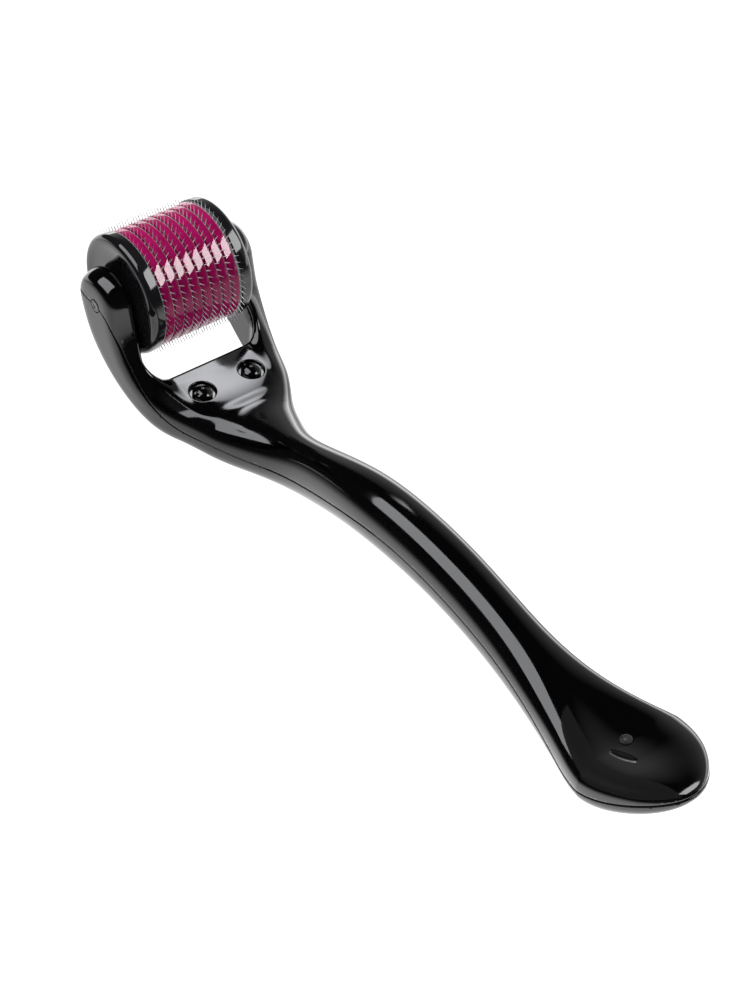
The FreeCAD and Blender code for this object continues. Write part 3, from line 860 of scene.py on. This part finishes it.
def gloss_black(name, color=(0.0035, 0.0035, 0.0042), roughness=(0.05, 0.11)):
    """Injection-moulded black plastic: mirror-like, with the faint ripple and haze of handling."""
    look = Look(name, color, roughness[0], IOR=1.5)
    haze = look.noise(160, 4.0, distortion=0.4)
    look.set("Roughness", look.between(haze, *roughness))
    tint = look.noise(90, 2.0)
    lifted = tuple(channel * 1.6 for channel in color)
    look.set("Base Color", look.mix_color(look.between(tint, 0, 1), color, lifted))
    look.bump(look.noise(220, 1.0), 0.00002, 0.25)
    look.bump(look.noise(9000, 2.0), 0.0000005, 0.1)
    return look.material


def magenta_plastic():
    """Glossy coloured plastic, a little deeper in some places than in others."""
    look = Look("magenta_plastic", (0.27, 0.005, 0.075), 0.05, Specular_IOR_Level=0.15)
    depth = look.between(look.noise(400, 3.0), 0, 1)
    look.set("Base Color", look.mix_color(depth, (0.24, 0.003, 0.065), (0.3, 0.006, 0.085)))
    look.set("Roughness", look.between(look.noise(1500, 3.0), 0.035, 0.07))
    look.bump(look.noise(5000, 2.0, stretch=(1, 0.1, 1)), 0.000001, 0.2)
    return look.material


def needle_steel():
    """Ground steel, duller in some places than in others."""
    look = Look("needle_steel", (0.45, 0.44, 0.46), 0.28, Metallic=1.0)
    look.set("Roughness", look.between(look.noise(3000, 2.0), 0.2, 0.38))
    look.set("Base Color", look.mix_color(look.noise(2000, 2.0), (0.36, 0.35, 0.38), (0.55, 0.54, 0.57)))
    return look.material


def satin_grey():
    """The tail pin's dull grey plastic."""
    look = Look("satin_grey", (0.17, 0.17, 0.175), 0.45)
    look.set("Roughness", look.between(look.noise(2500, 3.0), 0.4, 0.55))
    look.bump(look.noise(7000, 3.0), 0.000002, 0.3)
    return look.material


LOOKS = {
    "black_shell": gloss_black("shell_black"),
    "black_trim": gloss_black("stud_black", (0.004, 0.004, 0.005), (0.06, 0.12)),
    "black_flange": gloss_black("flange_black", (0.006, 0.006, 0.007), (0.05, 0.09)),
    "black_axle": gloss_black("axle_black", (0.012, 0.012, 0.013), (0.16, 0.28)),
    "black_core": gloss_black("core_black", (0.01, 0.01, 0.011), (0.3, 0.4)),
    "magenta_disc": magenta_plastic(),
    "steel_needles": needle_steel(),
    "grey_pin": satin_grey(),
}
SLOTS = {entry["node"]: entry["material_slot"] for entry in frame["record"]["subparts"]}


def finish_piece(piece, node, body):
    """Give a piece its node's slot and material, and let it move with its body."""
    slot_name = SLOTS[node]
    piece.data.materials.append(LOOKS[slot_name])
    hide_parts(node)
    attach(piece, body)
    return piece


def build_pieces():
    """Make every piece in the CAD's order, each in place of its node."""
    finish_piece(make_shell("front_shell", front_shell), "handle_front_shell", HANDLE)
    finish_piece(make_shell("back_shell", back_shell), "handle_back_shell", HANDLE)
    for node in STUDS:
        finish_piece(make_stud(node), node, HANDLE)
    finish_piece(make_pin(), "tail_pin", HANDLE)
    finish_piece(make_axle(), "axle", HANDLE)
    finish_piece(make_core(), "drum_core", ROLLER)
    finish_piece(make_flange("flange_left", -1), "flange_left", ROLLER)
    finish_piece(make_flange("flange_right", 1), "flange_right", ROLLER)
    for node in sorted(frame["nodes"]):
        if node.startswith("drum_disc"):
            finish_piece(make_disc(node), node, ROLLER)
        if node.startswith("needle_row"):
            finish_piece(make_needle_row(node), node, ROLLER)


build_pieces()


# ---------------------------------------------------------------- floor, lights, camera


FLOOR_SIZE = 4.0
FLOOR_RINGS = 24
FLOOR_SEGMENTS = 64
# The floor glows where it is seen from above, and hardly at all where it is seen edge on;
# start and end are values of Layer Weight's facing.
FLOOR_GLOW = {"low": 1.35, "high": 0.04, "start": 0.62, "end": 0.92}
# Its glow far behind the drum, and how the glow rises under the tail, by metres in those directions.
FAR_GLOW = {"low": 0.0, "high": 1.8, "start": 0.06, "end": 0.16}
TAIL_GLOW = {"low": 0.95, "high": 2.3, "start": -0.05, "end": 0.09}


def make_floor():
    """A plain white disc of floor, whose glow fades where it is seen edge on."""
    radii = [0.0001] + [FLOOR_SIZE * (i / FLOOR_RINGS) ** 2 for i in range(1, FLOOR_RINGS + 1)]
    points, faces = ring_of([(radius, -0.00005) for radius in radii], FLOOR_SEGMENTS)
    mesh = bpy.data.meshes.new("floor")
    last = FLOOR_SEGMENTS * FLOOR_RINGS
    mesh.from_pydata(points.tolist(), [], [face for face in faces.tolist() if max(face) - min(face) < last])
    floor = bpy.data.objects.new("floor", mesh)
    bpy.context.scene.collection.objects.link(floor)
    look = Look("floor_white", (0.8, 0.8, 0.81), 0.6)
    look.shader.inputs["Emission Color"].default_value = (1, 1, 1, 1)
    look.shader.inputs["Specular IOR Level"].default_value = 0.1
    seen = look.between(look.turned_away(), **FLOOR_GLOW)
    back = look.between(look.toward((-1, 1, 0)), **FAR_GLOW)
    near_tail = look.between(look.toward((1, 0, 0)), **TAIL_GLOW)
    front = look.combined("MULTIPLY", seen, near_tail)
    look.set("Emission Strength", look.combined("MAXIMUM", front, back))
    look.bump(look.noise(600, 2.0), 0.00002, 0.2)
    mesh.materials.append(look.material)


WALL_START = (-1.5, 0.42)
WALL_END = (0.6, 0.42)
WALL_HEIGHT = 0.7


def make_back_wall():
    """A glowing white card behind the object, brightest at the floor, seen only in reflections."""
    foot, top = 0.0, WALL_HEIGHT
    corners = [(*WALL_START, foot), (*WALL_END, foot), (*WALL_END, top), (*WALL_START, top)]
    mesh = bpy.data.meshes.new("back_wall")
    mesh.from_pydata(corners, [], [(0, 1, 2, 3)])
    wall = bpy.data.objects.new("back_wall", mesh)
    bpy.context.scene.collection.objects.link(wall)
    look = Look("wall_glow", (0, 0, 0), 1.0)
    look.shader.inputs["Emission Color"].default_value = (1, 1, 1, 1)
    level = look.toward((0, 0, 1))
    brightness = look.between(level, 5.0, 0.45, 0.0, 0.15)
    fade = look.between(level, 1, 0, 0.25, WALL_HEIGHT)
    look.set("Emission Strength", look.combined("MULTIPLY", brightness, fade))
    mesh.materials.append(look.material)
    wall.visible_camera = False
    wall.visible_diffuse = False


def softbox(name, centre, target, size, radiance, spread=180.0, color=(1, 1, 1)):
    """A rectangular area light that faces a target; a narrow spread, in degrees, keeps it to a beam."""
    light = bpy.data.lights.new(name, "AREA")
    light.shape = "RECTANGLE"
    light.size, light.size_y = size
    light.color = color
    light.energy = radiance * math.pi * size[0] * size[1]
    if spread < 180:
        half = math.radians(spread) / 2
        light.spread = 2 * half
        light.energy *= 1 - half / math.tan(half)
    lamp = bpy.data.objects.new(name, light)
    lamp.location = centre
    lamp.rotation_euler = (Vector(target) - Vector(centre)).to_track_quat("-Z", "Y").to_euler()
    lamp.visible_camera = False
    bpy.context.scene.collection.objects.link(lamp)
    return lamp


def way_of(azimuth, elevation):
    """The direction of an azimuth and an elevation in degrees."""
    turn, rise = math.radians(azimuth), math.radians(elevation)
    return Vector((math.cos(rise) * math.cos(turn), math.cos(rise) * math.sin(turn), math.sin(rise)))


def light_only(lamp, pieces):
    """Let a lamp shine on these pieces alone."""
    receivers = bpy.data.collections.new(f"{lamp.name}_receivers")
    for piece in pieces:
        receivers.objects.link(piece)
    lamp.light_linking.receiver_collection = receivers


def highlight_box(name, target, box, pieces, **options):
    """A softbox for the highlight that it makes on some pieces, placed as seen from its target."""
    way, distance, size, radiance = box
    centre = Vector(target) + way_of(*way) * distance
    lamp = softbox(name, centre, target, size, radiance, **options)
    lamp.visible_diffuse = False
    light_only(lamp, pieces)


def make_flag(name, low, high, level, glow):
    """A level card, seen only in reflections, that covers a softbox; it may glow a little itself."""
    corners = [(low[0], low[1], level), (high[0], low[1], level), (*high, level), (low[0], high[1], level)]
    mesh = bpy.data.meshes.new(name)
    mesh.from_pydata(corners, [], [(0, 1, 2, 3)])
    flag = bpy.data.objects.new(name, mesh)
    bpy.context.scene.collection.objects.link(flag)
    look = Look(f"{name}_card", (0, 0, 0), 1.0, Specular_IOR_Level=0.0, Emission_Strength=glow)
    look.shader.inputs["Emission Color"].default_value = (1, 1, 1, 1)
    mesh.materials.append(look.material)
    flag.visible_camera = False
    flag.visible_diffuse = False
    flag.visible_shadow = False


# Where the lights stand and what they face, in metres in the frame.
PLATE_MIDDLE = (-0.043, 0.0, 0.0105)
DRUM_FRONT = (-0.052, 0.0, 0.031)
DRUM_MIDDLE = (-0.058, 0.0, 0.022)
BELOW_DRUM = (-0.034, 0.0, 0.002)
STREAK_MIDDLE = (-0.16, -0.16, 0.355)
STREAK_TARGET = (-0.16, 0.0, 0.017)
FILL_MIDDLE = (-0.2, 0.0, 0.45)
FILL_TARGET = (-0.05, 0.0, 0.02)
COOL_WHITE = (0.95, 0.96, 1.0)
# Highlight boxes: (direction seen from the target, distance, size, radiance).
PLATE_BOX = ((139.5, 49.5), 0.2, (0.06, 0.045), 11.0)
DISC_BOX = ((38, 39.5), 0.4, (0.3, 0.19), 44.0)
FLANGE_BOX = ((38, 42), 0.4, (0.3, 0.2), 9.0)
SPOT_BOX = ((38, 42), 0.4, (0.12, 0.1), 9.0)


def named(*starts):
    """The object's pieces whose names start with one of these words."""
    return [piece for piece in bpy.data.objects if piece.type == "MESH" and piece.name.startswith(starts)]


def make_lights():
    """Boxes for the plate, the long streak, the drum's band and the arm's spot, and fills for the drum.

    The drum's near pieces don't show in reflections, so that the plate mirrors its box through them.
    """
    handle_pieces = named("front_shell", "back_shell", "neck_stud", "pin_end", "axle_pin")
    drum_pieces = named("disc_", "needles_", "end_flange")
    for piece in named("disc_", "needles_", "end_flange_right", "core_tube", "axle_pin"):
        piece.visible_glossy = False
    beam = {"spread": 20.0, "color": COOL_WHITE}
    highlight_box("plate_box", PLATE_MIDDLE, PLATE_BOX, handle_pieces, **beam)
    streak_box = softbox("streak_box", STREAK_MIDDLE, STREAK_TARGET, (0.38, 0.3), 5.0, color=COOL_WHITE)
    streak_box.visible_diffuse = False
    highlight_box("disc_box", DRUM_FRONT, DISC_BOX, named("disc_"))
    highlight_box("flange_box", DRUM_FRONT, FLANGE_BOX, named("end_flange"))
    highlight_box("spot_box", DRUM_FRONT, SPOT_BOX, handle_pieces)
    fill = softbox("fill_box", FILL_MIDDLE, FILL_TARGET, (0.4, 0.4), 7.0)
    low_fill = softbox("low_fill", BELOW_DRUM, DRUM_MIDDLE, (0.02, 0.03), 2.0)
    for lamp in (fill, low_fill):
        lamp.visible_glossy = False
        light_only(lamp, drum_pieces)


CAMERA_PLACE = Vector((0.19583, -0.15933, 0.23847))
CAMERA_BACK = Vector((0.58115, -0.4687, 0.66527))
CAMERA_RIGHT = Vector((0.6164, 0.78727, 0.01619))
SENSOR_HEIGHT = 36.0
LENS = 75.6


def make_camera():
    """A view from the right of the tail, above, with a slight roll."""
    data = bpy.data.cameras.new("camera")
    data.sensor_fit = "VERTICAL"
    data.sensor_height = SENSOR_HEIGHT
    data.lens = LENS
    camera = bpy.data.objects.new("camera", data)
    back = CAMERA_BACK.normalized()
    right = (CAMERA_RIGHT - back * CAMERA_RIGHT.dot(back)).normalized()
    up = back.cross(right)
    turn = Matrix((right, up, back)).transposed()
    camera.matrix_world = Matrix.Translation(CAMERA_PLACE) @ turn.to_4x4()
    bpy.context.scene.collection.objects.link(camera)
    bpy.context.scene.camera = camera


def make_world():
    """A nearly black studio round the floor, shown without film-like tone changes."""
    world = bpy.data.worlds.new("studio")
    world.use_nodes = True
    world.node_tree.nodes["Background"].inputs["Color"].default_value = (0.03, 0.03, 0.032, 1)
    bpy.context.scene.world = world
    bpy.context.scene.view_settings.view_transform = "Standard"


make_floor()
make_back_wall()
make_flag("shoulder_flag", (-0.052, -0.07), (-0.0425, -0.0112), 0.0245, 0.0)
make_flag("tail_flag", (0.047, -0.04), (0.078, 0.0), 0.0145, 0.25)
make_lights()
make_world()
make_camera()
